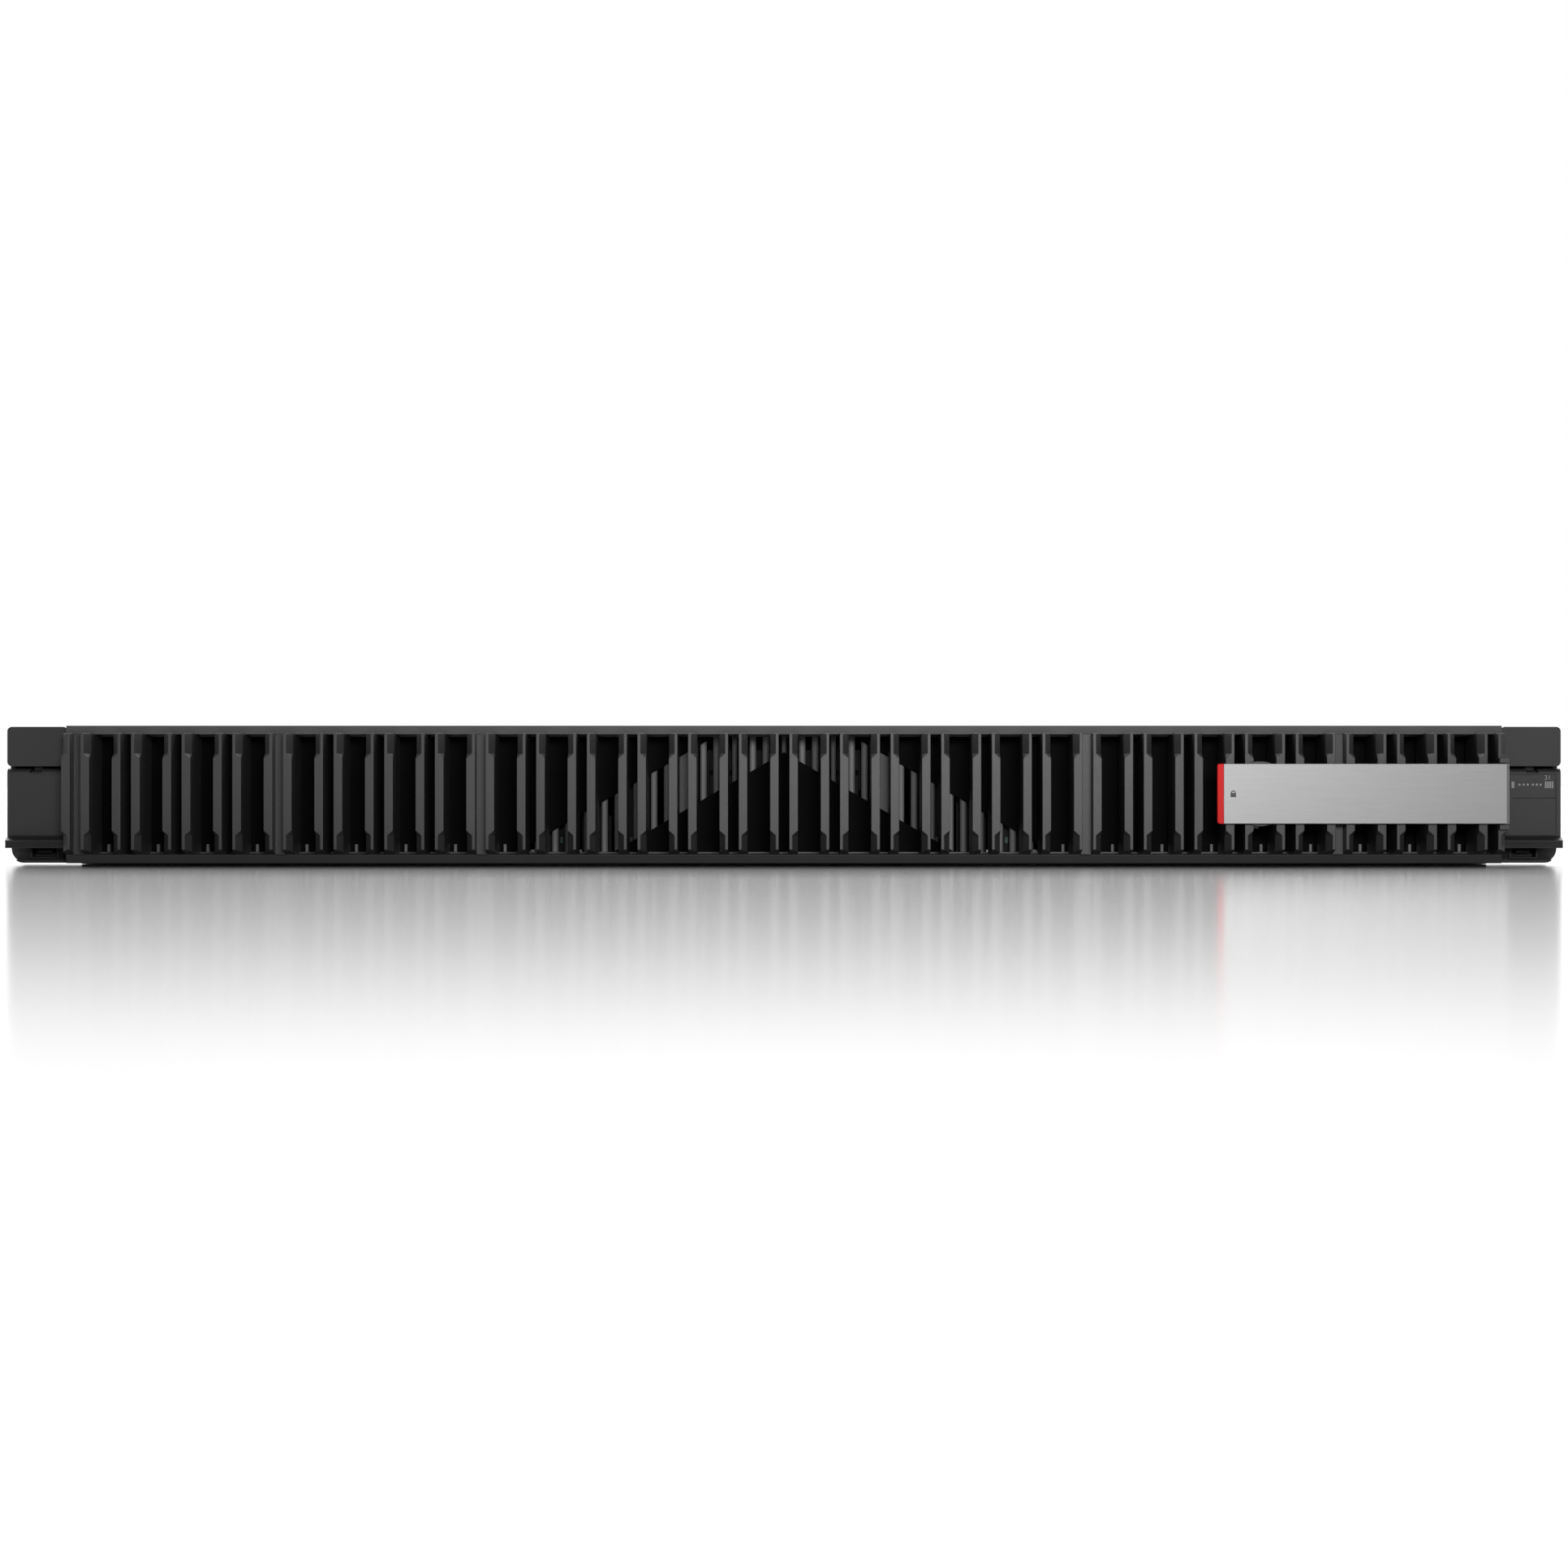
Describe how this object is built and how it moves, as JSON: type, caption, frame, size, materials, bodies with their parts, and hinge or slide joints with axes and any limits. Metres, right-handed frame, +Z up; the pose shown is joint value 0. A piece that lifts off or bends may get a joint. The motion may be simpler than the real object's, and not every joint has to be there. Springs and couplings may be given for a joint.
{
  "type": "rack server",
  "caption": "One-unit rack server: slatted bezel with a swing handle and chevron grille, flip-up ear covers, drive bay, fans, board and pull-out power supplies.",
  "frame": {"origin": "on the underside of the chassis, in the middle of the rack mounting plane", "axes": "+X to the right seen from the front, +Y to the rear, +Z up"},
  "size_m": [0.4826, 0.7996, 0.0433],
  "materials": {
    "steel_sheet": "zinc-plated steel sheet, satin",
    "cover_sheet": "plated steel sheet, satin",
    "dark_plastic": "dark grey moulded plastic, fine grain",
    "bezel_grey": "dark grey moulding, semi-gloss",
    "slat_grey": "mid grey moulding",
    "handle_silver": "satin silver",
    "red_plastic": "red, semi-gloss",
    "blue_plastic": "blue touch point",
    "port_metal": "bright plated shell",
    "board_green": "solder mask on glass laminate",
    "socket_black": "black moulded",
    "drive_case": "bead-blasted",
    "sink_metal": "bare fins",
    "fan_black": "black moulded",
    "screw_steel": "knurled, plated",
    "supply_case": "plated sheet"
  },
  "bodies": {
    "chassis": {"adapter_cards": "board_green", "air_duct": "socket_black", "backplane": "board_green", "chassis_tray": "steel_sheet", "chipset_sink": "sink_metal", "control_panel": "dark_plastic", "cpu_sockets": "socket_black", "drive_cage": "steel_sheet", "drive_latches": "socket_black", "drive_modules": "drive_case", "ear_ports": "port_metal", "fan_cage": "steel_sheet", "fan_frames": "fan_black", "front_top_cover": "cover_sheet", "heat_sinks": "sink_metal", "left_ear": "dark_plastic", "main_board": "board_green", "memory_modules": "board_green", "memory_slots": "socket_black", "network_card": "port_metal", "power_sockets": "socket_black", "rail_studs": "screw_steel", "rear_ports": "port_metal", "rear_wall": "steel_sheet", "right_ear": "dark_plastic", "riser_card": "board_green", "supply_bay": "steel_sheet"},
    "top_cover": {"top_cover": "cover_sheet"},
    "cover_lever": {"cover_lever": "blue_plastic"},
    "right_ear_cover": {"right_ear_cover": "dark_plastic"},
    "left_ear_cover": {"left_ear_cover": "dark_plastic"},
    "right_rack_screw": {"right_rack_screw": "screw_steel"},
    "left_rack_screw": {"left_rack_screw": "screw_steel"},
    "bezel": {"bezel_frame": "bezel_grey", "bezel_bars": "bezel_grey", "bezel_slats": "slat_grey", "bezel_panel": "dark_plastic"},
    "bezel_handle": {"bezel_handle": "handle_silver", "bezel_handle_tip": "red_plastic"},
    "bezel_lock": {"bezel_lock": "screw_steel"},
    "power_button": {"power_button": "dark_plastic"},
    "ident_button": {"ident_button": "blue_plastic"},
    "fan_rotor_1": {"fan_rotor_1": "fan_black"},
    "fan_rotor_2": {"fan_rotor_2": "fan_black"},
    "fan_rotor_3": {"fan_rotor_3": "fan_black"},
    "fan_rotor_4": {"fan_rotor_4": "fan_black"},
    "fan_rotor_5": {"fan_rotor_5": "fan_black"},
    "fan_rotor_6": {"fan_rotor_6": "fan_black"},
    "fan_rotor_7": {"fan_rotor_7": "fan_black"},
    "fan_rotor_8": {"fan_rotor_8": "fan_black"},
    "inner_supply": {"inner_supply": "supply_case", "inner_supply_inlet": "socket_black", "inner_supply_handle": "socket_black"},
    "inner_supply_rotor": {"inner_supply_rotor": "fan_black"},
    "inner_supply_latch": {"inner_supply_latch": "blue_plastic"},
    "outer_supply": {"outer_supply": "supply_case", "outer_supply_inlet": "socket_black", "outer_supply_handle": "socket_black"},
    "outer_supply_rotor": {"outer_supply_rotor": "fan_black"},
    "outer_supply_latch": {"outer_supply_latch": "blue_plastic"}
  },
  "joints": [
    {"name": "bezel_pull", "type": "slide", "parent": "chassis", "child": "bezel", "axis": [0, -1, 0], "range_m": [0, 0.06]},
    {"name": "handle_swing", "type": "hinge", "parent": "bezel", "child": "bezel_handle", "pos_m": [0.2215, -0.0346, 0.0223], "axis": [0, 0, 1], "range_deg": [0, 75]},
    {"name": "lock_turn", "type": "hinge", "parent": "bezel", "child": "bezel_lock", "pos_m": [0.1462, -0.025, 0.0223], "axis": [0, 1, 0], "range_deg": [0, 90]},
    {"name": "top_cover_slide", "type": "slide", "parent": "chassis", "child": "top_cover", "axis": [0, 1, 0], "range_m": [0, 0.012]},
    {"name": "cover_lever_lift", "type": "hinge", "parent": "top_cover", "child": "cover_lever", "pos_m": [0, 0.47, 0.0417], "axis": [1, 0, 0], "range_deg": [0, 80]},
    {"name": "power_press", "type": "slide", "parent": "chassis", "child": "power_button", "axis": [0, 1, 0], "range_m": [0, 0.0008], "stiffness_N_per_m": 400},
    {"name": "ident_press", "type": "slide", "parent": "chassis", "child": "ident_button", "axis": [0, 1, 0], "range_m": [0, 0.0008], "stiffness_N_per_m": 400},
    {"name": "right_ear_cover_flip", "type": "hinge", "parent": "chassis", "child": "right_ear_cover", "pos_m": [0.23255, -0.0204, 0.02855], "axis": [-1, 0, 0], "range_deg": [0, 80]},
    {"name": "right_screw_turn", "type": "hinge", "parent": "chassis", "child": "right_rack_screw", "pos_m": [0.23255, 0, 0.0218], "axis": [0, 1, 0], "continuous": true},
    {"name": "left_ear_cover_flip", "type": "hinge", "parent": "chassis", "child": "left_ear_cover", "pos_m": [-0.23255, -0.0204, 0.02855], "axis": [-1, 0, 0], "range_deg": [0, 80]},
    {"name": "left_screw_turn", "type": "hinge", "parent": "chassis", "child": "left_rack_screw", "pos_m": [-0.23255, 0, 0.0218], "axis": [0, 1, 0], "continuous": true},
    {"name": "fan_spin_1", "type": "hinge", "parent": "chassis", "child": "fan_rotor_1", "pos_m": [-0.189, 0.2, 0.022], "axis": [0, 1, 0], "continuous": true},
    {"name": "fan_spin_2", "type": "hinge", "parent": "chassis", "child": "fan_rotor_2", "pos_m": [-0.135, 0.2, 0.022], "axis": [0, 1, 0], "continuous": true},
    {"name": "fan_spin_3", "type": "hinge", "parent": "chassis", "child": "fan_rotor_3", "pos_m": [-0.081, 0.2, 0.022], "axis": [0, 1, 0], "continuous": true},
    {"name": "fan_spin_4", "type": "hinge", "parent": "chassis", "child": "fan_rotor_4", "pos_m": [-0.027, 0.2, 0.022], "axis": [0, 1, 0], "continuous": true},
    {"name": "fan_spin_5", "type": "hinge", "parent": "chassis", "child": "fan_rotor_5", "pos_m": [0.027, 0.2, 0.022], "axis": [0, 1, 0], "continuous": true},
    {"name": "fan_spin_6", "type": "hinge", "parent": "chassis", "child": "fan_rotor_6", "pos_m": [0.081, 0.2, 0.022], "axis": [0, 1, 0], "continuous": true},
    {"name": "fan_spin_7", "type": "hinge", "parent": "chassis", "child": "fan_rotor_7", "pos_m": [0.135, 0.2, 0.022], "axis": [0, 1, 0], "continuous": true},
    {"name": "fan_spin_8", "type": "hinge", "parent": "chassis", "child": "fan_rotor_8", "pos_m": [0.189, 0.2, 0.022], "axis": [0, 1, 0], "continuous": true},
    {"name": "inner_supply_pull", "type": "slide", "parent": "chassis", "child": "inner_supply", "axis": [0, 1, 0], "range_m": [0, 0.17]},
    {"name": "inner_supply_fan_spin", "type": "hinge", "parent": "inner_supply", "child": "inner_supply_rotor", "pos_m": [0.11905, 0.725, 0.0212], "axis": [0, 1, 0], "continuous": true},
    {"name": "inner_supply_latch_press", "type": "hinge", "parent": "inner_supply", "child": "inner_supply_latch", "pos_m": [0.1408, 0.743, 0.012], "axis": [0, 0, 1], "range_deg": [0, 12], "stiffness_Nm_per_rad": 0.3},
    {"name": "outer_supply_pull", "type": "slide", "parent": "chassis", "child": "outer_supply", "axis": [0, 1, 0], "range_m": [0, 0.17]},
    {"name": "outer_supply_fan_spin", "type": "hinge", "parent": "outer_supply", "child": "outer_supply_rotor", "pos_m": [0.19505, 0.725, 0.0212], "axis": [0, 1, 0], "continuous": true},
    {"name": "outer_supply_latch_press", "type": "hinge", "parent": "outer_supply", "child": "outer_supply_latch", "pos_m": [0.2168, 0.743, 0.012], "axis": [0, 0, 1], "range_deg": [0, 12], "stiffness_Nm_per_rad": 0.3}
  ]
}
